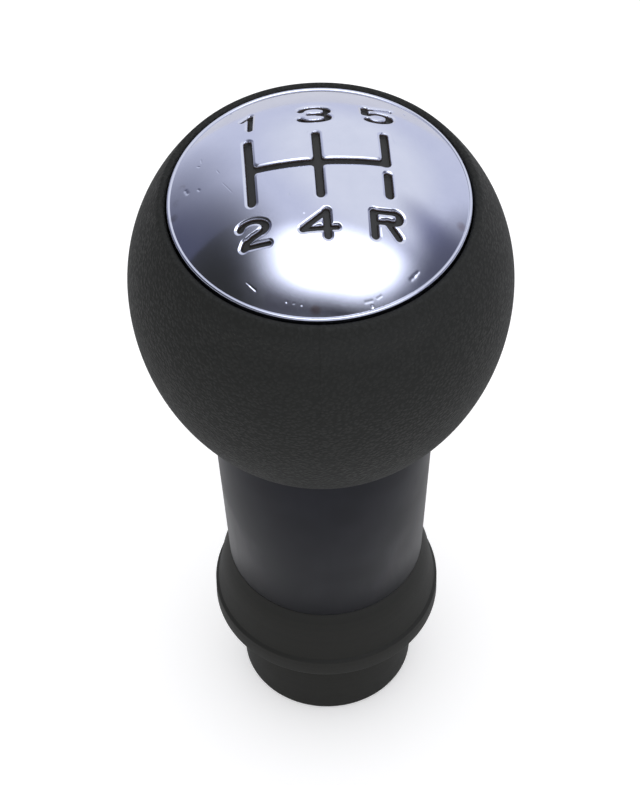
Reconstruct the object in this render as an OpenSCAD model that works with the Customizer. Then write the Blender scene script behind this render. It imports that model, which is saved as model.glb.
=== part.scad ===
// Gear shift knob: a ball grip with a domed chrome cap on a tapered neck, over a flared
// collar and a short lower ring. Millimetres. The foot of the lower ring is at z = 0, the
// knob's axis is Z, and +Y is forward in the car, towards gears 1, 3 and 5.

/* [Ball grip] */
// Widest diameter of the ball
ball_d = 50; // [42:0.5:58]
// Height of the widest ring above the foot
ball_z = 81.5; // [70:0.5:92]
// Profile radius of the ball above its widest ring
upper_arc = 27.6; // [24:0.2:32]
// Profile radius of the ball below its widest ring
lower_arc = 35.9; // [30:0.1:42]
// Thickness of the moulded skin with the leather grain
skin_t = 2.2; // [1.6:0.1:2.6]
// Radius of the rolled lip round the cap
lip_round = 0.7; // [0.4:0.05:0.9]
// Width of the skin's lower edge, where it closes on the neck
skin_land = 0.35; // [0.2:0.05:0.6]

/* [Core] */
// Wall of the hard core under the skin
core_wall = 2; // [1.6:0.1:2.4]
// Thickness of the bowl's floor
floor_t = 2; // [1.5:0.1:3]
// Thickness of the webs in the bowl and in the neck sleeve
rib_t = 1.6; // [1:0.1:2.4]
// Height of the tongue that welds the crown into the bowl
tongue_h = 1.2; // [0.8:0.1:2]
// Wall of the core's tube below the neck
tube_wall = 1.4; // [1.2:0.1:1.6]

/* [Chrome cap] */
// How far the cap's rim lies inside the ball's widest ring
cap_inset = 5.6; // [4.8:0.1:7]
// Open groove between the rim and the grip's lip
cap_gap = 0.3; // [0.2:0.05:0.6]
// Radius of the rolled rim bead
rim_bead = 0.45; // [0.3:0.05:0.6]
// How far the bead's centre stands above the lip
rim_stand = 0.55; // [0.2:0.05:1]
// Radius of the domed face
dome_r = 33; // [28:0.5:60]
// Wall of the cap
cap_wall = 1.6; // [1.2:0.1:2]
// Depth of the skirt below the rim bead
skirt_h = 2.7; // [2.2:0.1:3.4]

/* [Snap legs] */
// Number of snap legs under the cap
leg_n = 3; // [3:1:5]
// Width of a snap leg, as an angle
leg_angle = 24; // [16:1:30]
// Thickness of a snap leg
leg_t = 1.4; // [1:0.1:1.8]
// How far a leg's hook reaches under the crown's ledge
hook = 0.8; // [0.5:0.05:1]
// Thickness of the crown's ledge
ledge_t = 2; // [1.5:0.1:2.5]

/* [Shift gate] */
// Distance between the outer gate slots
gate_w = 17.1; // [15:0.1:19]
// Length of the gate slots
gate_l = 10.3; // [8:0.1:12]
// Width of the gate slots
slot_w = 1.25; // [0.8:0.05:1.6]
// Width of the cross slot
cross_w = 1.15; // [0.7:0.05:1.5]
// How far the cross slot lies ahead of the cap's centre
gate_y = 1.5; // [0:0.1:4]
// Depth of the slots below the dome
slot_depth = 0.7; // [0.3:0.05:0.9]

/* [Neck] */
// How far the neck widens on its way up, on each side
neck_flare = 1.85; // [0:0.05:3]
// Wall of the neck sleeve
neck_wall = 1.9; // [1.5:0.1:2.3]
// How far the sleeve reaches up inside the skin's lower edge
neck_tuck = 2.5; // [1.5:0.1:3.5]

/* [Collar] */
// Height of the collar's top edge above the foot
collar_top = 25.2; // [22:0.2:30]
// How far the collar's rim stands out past the neck's wide end
collar_over = 0.3; // [0:0.05:3]
// Height of the collar's upright rim
collar_band = 3.4; // [2:0.1:4.5]
// Wall of the collar's skirt
collar_wall = 1.5; // [1.2:0.1:1.8]
// Height of the spigot that centres the neck sleeve
spigot_h = 3; // [2:0.5:5]
// Wall of that spigot
spigot_wall = 1.35; // [1:0.05:1.8]

/* [Lower ring] */
// Wall of the lower ring
ring_wall = 1.7; // [1.3:0.1:2.2]
// Height of the lower ring
ring_h = 13.6; // [11:0.2:15]
// Rounding of the ring's foot
ring_round = 0.7; // [0.3:0.1:1]
// Thickness of the lip that holds the bush in
ring_lip = 1.2; // [0.8:0.1:2]

/* [Lever socket] */
// Diameter of the gear lever that the knob takes
lever_d = 12; // [11.6:0.1:12.4]
// Radial play of the lever in the bush
lever_play = 0.1; // [0.06:0.02:0.2]
// Depth of the socket from the bush's mouth
socket_depth = 54; // [48:1:56]
// Wall of the split bush
bush_wall = 1.4; // [1.2:0.1:1.6]
// Thickness of the rubber damper round the bush
damper_t = 0.8; // [0.6:0.1:1]
// Thickness of the rubber pad at the socket's end
pad_t = 2; // [1:0.1:3]
// Length of the slits that let the bush grip
slit_l = 18; // [12:1:24]
// Width of the slits
slit_w = 1.6; // [1:0.1:2]
// Wire diameter of the clamp spring
spring_wire = 0.9; // [0.6:0.1:1]

/* [Ballast] */
// Space between the steel weight and the bowl's wall
weight_gap = 1.5; // [0.8:0.1:4]
// Height of the steel weight
weight_h = 9; // [5:0.5:11]
// Number of screws that hold the weight
screw_n = 3; // [3:1:4]
// Shank diameter of those screws
screw_d = 3; // [2.5:0.1:3.5]
// Length of those screws with their heads
screw_l = 10; // [8:0.5:10.5]

/* [Hidden] */
$fn = 96;

// Clearance between moulded pieces that slip over each other
fit = 0.1;
// Overrun of a cutter past the face it opens
over = 1;
// Length that is sure to pass everything it cuts
far = 200;

// Socket, from the bore outwards
bore_r = lever_d / 2 + lever_play;
bush_r = bore_r + bush_wall;
damper_in = bush_r + fit;
damper_r = damper_in + damper_t;
tube_in = damper_r + fit;
tube_r = tube_in + tube_wall;
mouth_chamfer = 0.6;
lip_bore_r = bore_r + mouth_chamfer + 0.3;
bush_flange_h = 1.8;
damper_foot = ring_lip + slit_l + 3;
spring_z = ring_lip + slit_l * 0.6;
spring_r = bush_r + spring_wire * 0.2;
socket_top = ring_lip + socket_depth;
pad_top = socket_top + pad_t;
tube_cap = 2;

// Lower ring, collar and neck, each round the one inside it
ring_r = tube_r + fit + ring_wall;
shank_r = tube_r + fit + spigot_wall;
neck_foot_r = shank_r + fit + neck_wall;
neck_top_r = neck_foot_r + neck_flare;
collar_r = neck_top_r + collar_over;
collar_edge = 0.4;
rib_n = 6;

// The tube is thicker above the collar's spigot
shank_z = collar_top + spigot_h + fit;

// Collar: a steep skirt that bends once on its way down to the rim
bend_out = 0.52;
bend_down = 0.51;
collar_bend_r = neck_foot_r + (collar_r - neck_foot_r) * bend_out;
collar_bend_z = collar_top - (collar_top - ring_h - collar_band) * bend_down;
pocket_gap = 0.6;
pocket_r = ring_r + pocket_gap;

// Snap bead of the tube in the lower ring
bead_z = ring_h * 0.62;
bead_out = 0.4;
bead_h = 1.6;

// Ball: it closes on the neck below, and the lip is a bead that runs into the ball's outside
ball_r = ball_d / 2;
cap_r = ball_r - cap_inset;
skin_foot = ball_z - sqrt(pow(lower_arc, 2) - pow(neck_top_r - ball_r + lower_arc, 2)) + skin_land;
neck_top = skin_foot + neck_tuck;
lip_in = cap_r + cap_gap;
lip_cr = lip_in + lip_round;
lip_cz = ball_z + sqrt(pow(upper_arc - lip_round, 2) - pow(lip_cr - ball_r + upper_arc, 2));
lip_angle = asin((lip_cz - ball_z) / (upper_arc - lip_round));
lip_top = lip_cz + lip_round;
core_off = skin_t + fit;
tube_top = max(pad_top + tube_cap, neck_top + floor_t);

// Cap: the skirt rests on the crown's ledge, and a shallow valley parts the dome from the bead
rim_z = lip_top + rim_stand;
ledge_z = rim_z - skirt_h;
bead_cr = cap_r - rim_bead;
valley = 0.7;
dome_edge_r = bead_cr - rim_bead * valley;
dome_edge_z = rim_z + rim_bead * valley;
dome_cz = dome_edge_z - sqrt(pow(dome_r, 2) - pow(dome_edge_r, 2));

// Snap legs, inside the skirt, and the ledge that they pass through
leg_space = 1.2;
leg_start = 90;
leg_out = cap_r - cap_wall - leg_space;
leg_in = leg_out - leg_t;
hook_play = 0.15;
hook_top = ledge_z - ledge_t - hook_play;
hook_h = 1.6;
hook_lead = 0.3;
window_play = 0.25;
window_angle = leg_angle + 2;
ledge_in = leg_in - 1.4;

// Weld between the two halves of the core
weld_r = ball_r - core_off - core_wall / 2;
tongue_t = 0.6;

// Ballast, on bosses that rise from the bowl's floor, its screws between the snap legs
boss_rise = 5;
boss_wall = 1.6;
weight_z = max(neck_top + floor_t + boss_rise, tube_top + 0.6);
weight_r = ball_edge(weight_z, core_off + core_wall) - weight_gap;
screw_start = 60;
head_r = screw_d * 0.95;
head_h = screw_d * 0.6;
head_play = 0.4;
head_wall = 1.6;
seat_t = 3;
screw_ring = weight_r - head_r - head_play - head_wall;
pilot_z = weight_z + seat_t + head_h - screw_l - 0.5;

// Radius of the ball's outside, sunk by off, at height z
function ball_edge(z, off = 0) =
    let (arc = z > ball_z ? upper_arc : lower_arc)
    ball_r - arc + sqrt(pow(arc - off, 2) - pow(z - ball_z, 2));

// Radius of the neck's outside at height z
function neck_edge(z) =
    neck_foot_r + (neck_top_r - neck_foot_r) * (z - collar_top) / (neck_top - collar_top);

// Half section of the ball, sunk by off, between two heights
module ball_half(off, z0, z1) {
    intersection() {
        union() {
            intersection() {
                translate([ball_r - upper_arc, ball_z]) circle(r = upper_arc - off);
                translate([0, ball_z]) square([ball_r, ball_r * 2]);
            }
            intersection() {
                translate([ball_r - lower_arc, ball_z]) circle(r = lower_arc - off);
                translate([0, ball_z - ball_r * 2]) square([ball_r, ball_r * 2]);
            }
        }
        translate([0, z0]) square([ball_r, z1 - z0]);
    }
}

// Ring section between two radii and two heights
module band(r0, r1, z0, z1) {
    translate([r0, z0]) square([r1 - r0, z1 - z0]);
}

// Copies round the axis, the first at the start angle
module around(n, start = 0) {
    for (i = [0 : n - 1]) rotate([0, 0, start + i * 360 / n]) children();
}

// Sector of a ring, centred on the X axis
module sector(angle) {
    rotate([0, 0, -angle / 2]) rotate_extrude(angle = angle) children();
}

// Straight slot with round ends
module slot2d(from, to, width) {
    run = to - from;
    translate(from) rotate(atan2(run.y, run.x)) {
        translate([0, -width / 2]) square([norm(run), width]);
        circle(d = width, $fn = 32);
        translate([norm(run), 0]) circle(d = width, $fn = 32);
    }
}

// Two full slots, a half slot up to fifth, and a stub down to reverse that stops short
module gate2d() {
    half = gate_w / 2;
    reach = gate_l / 2;
    stub = 0.22 * gate_l;
    translate([0, gate_y]) {
        for (x = [-half, 0]) slot2d([x, -reach], [x, reach], slot_w);
        slot2d([half, 0], [half, reach], slot_w);
        slot2d([half, -reach], [half, -stub], slot_w);
        slot2d([-half, 0], [half, 0], cross_w);
    }
}

// Curved leg whose hook snaps under the crown's ledge
module cap_leg() {
    sector(leg_angle) polygon([
        [leg_in, dome_edge_z],
        [leg_in, hook_top - hook_h],
        [leg_out - hook_lead, hook_top - hook_h],
        [leg_out + hook, hook_top - hook_h / 2],
        [leg_out + hook, hook_top],
        [leg_out, hook_top],
        [leg_out, dome_edge_z]]);
}

module chrome_cap() color("lightsteelblue") {
    difference() {
        rotate_extrude() {
            intersection() {
                translate([0, dome_cz]) circle(r = dome_r, $fn = 180);
                band(0, dome_edge_r, rim_z, far);
            }
            translate([bead_cr, rim_z]) circle(r = rim_bead);
            band(0, bead_cr, rim_z - rim_bead, rim_z + rim_bead * 0.5);
            band(0, cap_r, ledge_z, rim_z);
        }
        rotate_extrude() {
            intersection() {
                translate([0, dome_cz]) circle(r = dome_r - cap_wall, $fn = 180);
                band(0, cap_r - cap_wall, ledge_z - over, far);
            }
        }
        difference() {
            translate([0, 0, rim_z]) linear_extrude(far - rim_z) gate2d();
            translate([0, 0, dome_cz]) sphere(r = dome_r - slot_depth);
        }
    }
    around(leg_n, leg_start) cap_leg();
}

module core_crown() color("dimgray") {
    difference() {
        rotate_extrude() {
            difference() {
                ball_half(core_off, ball_z, ledge_z);
                ball_half(core_off + core_wall, ball_z - over, ledge_z - ledge_t);
                band(0, ledge_in, ball_z - over, ledge_z + over);
            }
            band(weld_r - tongue_t / 2, weld_r + tongue_t / 2, ball_z - tongue_h, ball_z + over);
        }
        around(leg_n, leg_start) sector(window_angle)
            band(leg_in - window_play, leg_out + window_play, ledge_z - ledge_t - over, ledge_z + over);
    }
}

module core_bowl() color("dimgray") {
    difference() {
        union() {
            rotate_extrude() {
                difference() {
                    ball_half(core_off, neck_top, ball_z);
                    ball_half(core_off + core_wall, neck_top + floor_t, ball_z + over);
                    band(weld_r - tongue_t / 2 - fit, weld_r + tongue_t / 2 + fit,
                        ball_z - tongue_h - fit, ball_z + over);
                }
                band(0, shank_r, shank_z, tube_top);
                band(0, tube_r, ring_lip, tube_top);
                snap_bead(0);
            }
            around(screw_n, screw_start) translate([screw_ring, 0, neck_top + floor_t / 2])
                cylinder(r = screw_d / 2 + boss_wall, h = weight_z - neck_top - floor_t / 2);
            around(rib_n) bowl_rib();
        }
        translate([0, 0, ring_lip - over]) cylinder(r = tube_in, h = pad_top - ring_lip + over);
        around(screw_n, screw_start) translate([screw_ring, 0, pilot_z])
            cylinder(d = screw_d + 2 * fit, h = screw_l);
    }
}

// Section of the bead on the tube, grown by play for the groove that takes it
module snap_bead(play) {
    translate([tube_r + play, bead_z]) polygon([
        [-over, -bead_h / 2 - play], [0, -bead_h / 2 - play], [bead_out, 0],
        [bead_out, bead_h / 4], [0, bead_h / 2 + play], [-over, bead_h / 2 + play]]);
}

// Web between the tube and the bowl's wall, under the weight
module bowl_rib() {
    intersection() {
        translate([shank_r - boss_wall, -rib_t / 2, neck_top + floor_t / 2])
            cube([ball_r, rib_t, weight_z - neck_top - floor_t / 2 - fit]);
        rotate_extrude() ball_half(core_off + core_wall / 2, neck_top, weight_z);
    }
}

module grip_skin() color([0.18, 0.18, 0.19]) {
    rotate_extrude() {
        difference() {
            union() {
                ball_half(0, skin_foot, lip_cz);
                translate([lip_cr, lip_cz]) circle(r = lip_round);
                intersection() {
                    ball_half(0, lip_cz - over, lip_top);
                    translate([lip_cr, lip_cz]) polygon([[0, 0], [0, -over], [far, -over], [far, 0],
                        far * [cos(lip_angle), sin(lip_angle)]]);
                }
            }
            ball_half(skin_t, skin_foot - over, ledge_z + over);
            band(0, lip_in, ledge_z, far);
            polygon([[0, skin_foot - over], [neck_edge(skin_foot - over) + fit, skin_foot - over],
                [neck_edge(neck_top) + fit, neck_top], [0, neck_top]]);
        }
    }
}

module core_weight() color("slategray") {
    difference() {
        translate([0, 0, weight_z]) cylinder(r = weight_r, h = weight_h);
        around(screw_n, screw_start) translate([screw_ring, 0, 0]) {
            translate([0, 0, weight_z - over]) cylinder(d = screw_d + head_play, h = weight_h + 2 * over);
            translate([0, 0, weight_z + seat_t]) cylinder(r = head_r + head_play, h = weight_h);
        }
    }
}

module weight_screws() color("silver") {
    around(screw_n, screw_start) translate([screw_ring, 0, weight_z + seat_t]) {
        difference() {
            cylinder(r = head_r, h = head_h);
            translate([0, 0, head_h / 2]) cylinder(d = screw_d * 0.7, h = head_h, $fn = 6);
        }
        translate([0, 0, head_h - screw_l]) cylinder(d = screw_d, h = screw_l - head_h * 0.8);
    }
}

module neck_sleeve() color([0.22, 0.22, 0.24]) {
    rotate_extrude() polygon([
        [neck_foot_r - neck_wall, collar_top], [neck_foot_r, collar_top],
        [neck_top_r, neck_top], [neck_top_r - neck_wall, neck_top]]);
    around(rib_n, 180 / rib_n) intersection() {
        translate([shank_r + fit, -rib_t / 2, shank_z + fit])
            cube([neck_top_r, rib_t, neck_top - shank_z - fit]);
        translate([0, 0, collar_top]) cylinder(r1 = neck_foot_r - neck_wall / 2,
            r2 = neck_top_r - neck_wall / 2, h = neck_top - collar_top);
    }
}

module gaiter_collar() color([0.14, 0.14, 0.13]) {
    rotate_extrude() difference() {
        polygon([
            [tube_r + fit, ring_h], [collar_r - collar_edge, ring_h], [collar_r, ring_h + collar_edge],
            [collar_r, ring_h + collar_band - collar_edge], [collar_r - collar_edge, ring_h + collar_band],
            [collar_bend_r, collar_bend_z], [neck_foot_r, collar_top],
            [shank_r, collar_top], [shank_r, collar_top + spigot_h],
            [tube_r + fit, collar_top + spigot_h]]);
        polygon([
            [pocket_r, ring_h - over], [collar_r - collar_wall, ring_h - over],
            [collar_r - collar_wall, ring_h + collar_band], [pocket_r, collar_bend_z]]);
    }
}

module base_ring() color([0.16, 0.16, 0.17]) {
    rotate_extrude() difference() {
        union() {
            band(lip_bore_r, ring_r, ring_round, ring_h);
            band(lip_bore_r, ring_r - ring_round, 0, ring_h);
            translate([ring_r - ring_round, ring_round]) circle(r = ring_round);
        }
        band(0, tube_r + fit, ring_lip, ring_h + over);
        snap_bead(fit);
    }
}

module lever_bush() color("whitesmoke") {
    difference() {
        rotate_extrude() difference() {
            union() {
                band(bore_r, bush_r, ring_lip, socket_top);
                band(bore_r, damper_r, ring_lip, ring_lip + bush_flange_h);
            }
            polygon([[bore_r - over, ring_lip - over], [bore_r + mouth_chamfer + over, ring_lip - over],
                [bore_r - over, ring_lip + mouth_chamfer + over]]);
            translate([spring_r, spring_z]) circle(d = spring_wire + 2 * fit, $fn = 32);
        }
        around(4, 45) translate([0, -slit_w / 2, ring_lip - over]) cube([far, slit_w, slit_l + over]);
    }
}

module clamp_spring() color("gainsboro") {
    rotate([0, 0, 110]) rotate_extrude(angle = 320)
        translate([spring_r, spring_z]) circle(d = spring_wire, $fn = 32);
}

module damper_sleeve() color([0.1, 0.1, 0.1]) {
    rotate_extrude() band(damper_in, damper_r, damper_foot, socket_top);
}

module stop_pad() color([0.12, 0.12, 0.12]) {
    translate([0, 0, socket_top]) cylinder(r = damper_r, h = pad_t);
}

chrome_cap();
core_crown();
core_bowl();
grip_skin();
core_weight();
weight_screws();
neck_sleeve();
gaiter_collar();
base_ring();
lever_bush();
clamp_spring();
damper_sleeve();
stop_pad();
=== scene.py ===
import math

import bmesh
import bpy
import numpy as np
from mathutils import Matrix, Quaternion, Vector


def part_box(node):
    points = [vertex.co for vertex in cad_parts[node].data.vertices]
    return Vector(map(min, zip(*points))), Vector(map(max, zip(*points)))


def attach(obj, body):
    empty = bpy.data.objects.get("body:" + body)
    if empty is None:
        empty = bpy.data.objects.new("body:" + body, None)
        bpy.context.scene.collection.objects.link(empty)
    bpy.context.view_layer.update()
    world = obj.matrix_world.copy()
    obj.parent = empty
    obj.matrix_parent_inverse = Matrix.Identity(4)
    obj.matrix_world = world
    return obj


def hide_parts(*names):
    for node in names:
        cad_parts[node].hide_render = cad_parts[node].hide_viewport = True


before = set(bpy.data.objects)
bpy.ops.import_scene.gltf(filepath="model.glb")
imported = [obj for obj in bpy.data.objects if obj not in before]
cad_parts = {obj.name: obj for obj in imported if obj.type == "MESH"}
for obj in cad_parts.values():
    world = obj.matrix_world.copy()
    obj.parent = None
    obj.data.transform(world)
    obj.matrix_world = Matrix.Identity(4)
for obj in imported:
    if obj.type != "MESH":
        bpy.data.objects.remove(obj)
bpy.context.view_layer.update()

print("frame loaded with", len(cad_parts), "nodes")

mm = 0.001               # every size below is in millimetres, the scene is in metres
turns = 384              # steps round the axis on the turned pieces


def toLinear(hexColour):
    # sRGB hex, as a colour picker gives it, to Blender's linear colour
    parts = [int(hexColour[i:i + 2], 16) / 255 for i in (1, 3, 5)]
    parts = [p / 12.92 if p <= 0.04045 else ((p + 0.055) / 1.055) ** 2.4 for p in parts]
    return (*parts, 1.0)


def addNode(tree, kind, settings={}, links={}):
    node = tree.nodes.new(kind)
    for name, value in settings.items():
        if isinstance(name, str) and hasattr(node, name):
            setattr(node, name, value)
        else:
            node.inputs[name].default_value = value
    for name, source in links.items():
        tree.links.new(source, node.inputs[name])
    return node


def newMaterial(name):
    material = bpy.data.materials.new(name)
    material.use_nodes = True
    tree = material.node_tree
    shader = tree.nodes["Principled BSDF"]
    coords = addNode(tree, "ShaderNodeTexCoord")
    return material, tree, shader, coords.outputs["Object"]


def setRamp(node, stops):
    # stops are (position, colour) pairs
    ramp = node.color_ramp
    while len(ramp.elements) < len(stops):
        ramp.elements.new(0.5)
    for element, (position, colour) in zip(ramp.elements, stops):
        element.position = position
        element.color = colour
    return node


def grey(value):
    return (value, value, value, 1.0)


# Turned profiles: a pen walks round the half section, in radius and height, by edges and arcs

def startPen(r, z):
    bm = bmesh.new()
    return bm, bmesh.ops.create_vert(bm, co=(r * mm, 0, z * mm))["vert"][0]


def lineTo(bm, pen, r, z):
    step = bmesh.ops.extrude_vert_indiv(bm, verts=[pen])["verts"][0]
    step.co = (r * mm, 0, z * mm)
    return step


def arcRound(bm, pen, r, z, degrees, steps):
    # a positive angle runs anticlockwise in the drawing of radius against height
    swung = bmesh.ops.spin(bm, geom=[pen], cent=(r * mm, 0, z * mm), axis=(0, -1, 0),
                           angle=math.radians(degrees), steps=steps)["geom_last"]
    return next(item for item in swung if isinstance(item, bmesh.types.BMVert))


def turnRound(bm, first=None, last=None, steps=turns):
    if first and last:
        bmesh.ops.contextual_create(bm, geom=[first, last])
    bmesh.ops.spin(bm, geom=bm.verts[:] + bm.edges[:], cent=(0, 0, 0), axis=(0, 0, 1),
                   angle=2 * math.pi, steps=steps, use_merge=True)
    bmesh.ops.remove_doubles(bm, verts=bm.verts, dist=0.002 * mm)
    bmesh.ops.recalc_face_normals(bm, faces=bm.faces)


def softenRings(bm, width, segments=2, sharper=25):
    # rounds every ring edge sharper than the given angle
    edges = [e for e in bm.edges if len(e.link_faces) == 2
             and e.calc_face_angle(0) > math.radians(sharper)]
    bmesh.ops.bevel(bm, geom=edges, offset=width * mm, segments=segments, affect="EDGES",
                    profile=0.5, material=-1, clamp_overlap=True)


def finishPiece(bm, name, material, node):
    mesh = bpy.data.meshes.new(name)
    for face in bm.faces:
        face.smooth = True
    bm.to_mesh(mesh)
    bm.free()
    piece = bpy.data.objects.new(name, mesh)
    bpy.context.scene.collection.objects.link(piece)
    mesh.materials.append(material)
    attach(piece, "root")
    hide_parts(node)
    print("made", name, "with", len(mesh.polygons), "faces")
    return piece


# Main sizes, from the frame
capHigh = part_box("chrome_cap")[1]
skinLow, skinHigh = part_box("grip_skin")
neckLow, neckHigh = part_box("neck_sleeve")
collarLow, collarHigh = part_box("gaiter_collar")
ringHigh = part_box("base_ring")[1]
ballR = skinHigh.x / mm
skinFoot = skinLow.z / mm
lipTop = skinHigh.z / mm
capR = capHigh.x / mm
domeTop = capHigh.z / mm

# Chrome cap
cap = {
    "domeR": 33.0,           # radius of the domed face
    "rimBead": 0.27,         # radius of the rolled bead at the rim
    "rimStand": 0.44,        # bead centre above the grip's lip
    "edgeR": 18.92,          # where the dome meets the bead
    "wall": 1.6,
    "skirt": 2.59,           # skirt below the bead's centre
    "legs": 3,
    "legAngle": 24,
    "legWall": 1.4,
    "legSpace": 1.2,
    "hook": 0.8,
    "hookHeight": 1.6,
    "ledge": 2.15,           # crown's ledge with its play
    "ringStep": 0.5,         # spacing of the dome's rings before the gate is refined
    "fineEdge": 0.085,       # longest edge beside a recess
    "coarsen": 0.6,          # growth of the edges away from it
    "fineRounds": 8,         # most times that an edge is halved
    "markReach": 1.8,        # fine mesh round a mark, in half widths
    "plainRim": 0.2,         # band at the dome's edge without relief
    "deepest": 1.0,          # anything further below the dome isn't its face
    "legLead": 0.3,          # lead-in at a leg's foot
    "legTop": 0.9,           # where a leg ends in the dome's wall, as a share of the inner radius
}

# Shift gate and numbers, recessed in the dome
gate = {
    "wide": 17.4,            # between the outer slots
    "long": 10.45,           # slot length between the centres of its ends
    "ahead": 1.67,           # cross slot ahead of the cap's centre
    "slot": 1.18,            # width at the surface
    "stubFrom": -2.14,       # upper end of the reverse stub, behind the cross slot
    "slotJoin": 0.6,         # softness of the corners where slots meet
    "depth": 0.6,
    "shoulder": 0.3,         # width of the chamfer round each recess
    "shoulderSlope": 0.5,
    "shoulderSoft": 0.08,    # rounding where the chamfer starts
    "wall": 0.17,            # width of the steep wall
    "rowAhead": 9.75,        # number rows, from the cross slot
    "rowBehind": 9.49,
    "upright": 1.05,         # width of a number's upright strokes
    "level": 0.7,            # width of its level strokes
    "numberJoin": 0.2,
    "oneWeight": 0.72,       # the 1 is cut thinner than the others
}

# Marks of a used cap, a dent or a scratch each: from, to, half the width, depth
marks = [
    (-16.8, 1.9, -16.6, 1.3, 0.28, 0.06), (-15.2, 1.2, -15.1, 1.0, 0.2, 0.04),
    (-14.6, 6.4, -14.6, 5.9, 0.12, 0.02), (-15.1, 5.4, -14.9, 5.2, 0.14, 0.03),
    (-12.7, 3.3, -12.5, 2.8, 0.09, 0.015), (-12.1, 0.8, -11.1, -1.0, 0.07, 0.008),
    (-9.95, -13.7, -9.5, -14.2, 0.1, 0.018), (-9.5, -14.2, -8.9, -14.85, 0.14, 0.03),
    (10.5, -14.3, 11.0, -13.8, 0.3, 0.016), (10.9, -13.9, 11.45, -13.3, 0.22, 0.02),
    (4.6, -17.4, 5.4, -17.2, 0.24, 0.007), (6.1, -16.9, 6.6, -16.6, 0.2, 0.006),
    (5.4, -17.8, 5.4, -17.8, 0.18, 0.06), (-5.2, -16.8, -5.2, -16.8, 0.16, 0.022),
    (-4.4, -17.1, -4.2, -17.1, 0.12, 0.008), (-3.4, -17.4, -3.3, -17.4, 0.12, 0.014),
    (-10.4, 15.6, -10.4, 15.4, 0.14, 0.03), (11.7, 12.9, 11.8, 12.7, 0.14, 0.03),
    (-1.0, 7.4, -1.1, 7.2, 0.12, 0.02), (-4.0, -3.2, -4.0, -3.3, 0.1, 0.02),
    (9.9, 6.3, 10.0, 6.0, 0.12, 0.02), (-2.3, -6.3, -2.2, -6.4, 0.09, 0.02),
]


def numberStrokes():
    # centre lines in mm round each number's centre. A stroke is a list of points,
    # or an arc: centre, radii, first and last angle
    return {
        "1": [[(0.7, 1.58), (0.47, -1.57)], [(0.66, 1.55), (-0.43, 0.78)]],
        "2": [(-0.1, 0.67, 1.6, 0.97, 166, -38), [(1.17, 0.07), (-0.15, -0.55), (-1.05, -1.1), (-1.32, -1.68)],
              [(-1.32, -1.68), (1.8, -1.68)]],
        "3": [(0.08, 0.78, 1.7, 0.85, 165, -72), (0.0, -0.82, 1.83, 0.82, 68, -162),
              [(-0.6, 0.06), (1.15, 0.01)]],
        "4": [[(0.53, 1.62), (0.53, -1.63)], [(0.45, 1.62), (-2.58, -0.51)], [(-2.58, -0.6), (1.75, -0.6)]],
        "5": [[(-2.05, 1.58), (1.15, 1.58)], [(-2.05, 1.66), (-2.05, 0.43)],
              (-0.5, -0.47, 1.55, 1.0, 138, -152)],
        "R": [[(-2.24, 1.62), (-2.24, -1.6)], [(-2.24, 1.69), (0.42, 1.69)], (0.4, 0.98, 0.6, 0.7, 90, -90),
              [(0.42, 0.28), (-2.24, 0.28)], [(-0.5, 0.22), (0.72, -1.64)]],
    }


def strokePoints(stroke):
    # an arc in steps of about 8 degrees
    if isinstance(stroke, list):
        return stroke
    x, y, rx, ry, first, last = stroke
    angles = np.radians(np.linspace(first, last, round(abs(last - first) / 8) + 1))
    return list(zip(x + rx * np.cos(angles), y + ry * np.sin(angles)))


def recessStrokes():
    # every stroke as straight pieces (from, to, half the width), with the softness of its joins
    half, reach, join = gate["wide"] / 2, gate["long"] / 2, gate["slotJoin"]
    slots = [((-half, -reach), (-half, reach)), ((0, -reach), (0, reach)), ((half, 0), (half, reach)),
             ((half, -reach), (half, gate["stubFrom"])), ((join - half, 0), (half - join / 2, 0))]
    ahead = np.array((0, gate["ahead"]))
    strokes = [([(a + ahead, b + ahead, gate["slot"] / 2)], join) for a, b in np.array(slots)]
    places = {"1": (-half, gate["rowAhead"]), "3": (0, gate["rowAhead"]), "5": (half, gate["rowAhead"]),
              "2": (-half, -gate["rowBehind"]), "4": (0, -gate["rowBehind"]), "R": (half, -gate["rowBehind"])}
    for name, lines in numberStrokes().items():
        weight = gate["oneWeight"] if name == "1" else 1.0
        for line in lines:
            points = np.array(strokePoints(line)) + places[name] + ahead
            pieces = []
            for a, b in zip(points[:-1], points[1:]):
                rise = abs(b[1] - a[1]) / math.dist(a, b)
                width = gate["level"] + (gate["upright"] - gate["level"]) * rise * rise
                pieces.append((a, b, width * weight / 2))
            strokes.append((pieces, gate["numberJoin"]))
    return strokes


recesses = recessStrokes()


def awayFrom(xy, a, b):
    # distance of each point from the line a to b
    run = b - a
    along = np.clip(((xy - a) @ run) / max(run @ run, 1e-9), 0, 1)
    return np.linalg.norm(xy - a - along[:, None] * run, axis=1)


def outside(xy):
    # signed distance in mm from the recesses' outline, negative inside, corners filled softly
    total = np.full(len(xy), 9.0)
    for pieces, join in recesses:
        ends = np.array([end for a, b, half in pieces for end in (a, b)])
        near = np.all((xy > ends.min(axis=0) - 2) & (xy < ends.max(axis=0) + 2), axis=1)
        away = np.min([awayFrom(xy[near], a, b) - half for a, b, half in pieces], axis=0)
        blend = np.maximum(join - np.abs(total[near] - away), 0) / join
        total[near] = np.minimum(total[near], away) - blend * blend * join / 4
    return total


def markLines():
    return [(np.array(mark[:2]), np.array(mark[2:4]), mark[4], mark[5]) for mark in marks]


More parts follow.
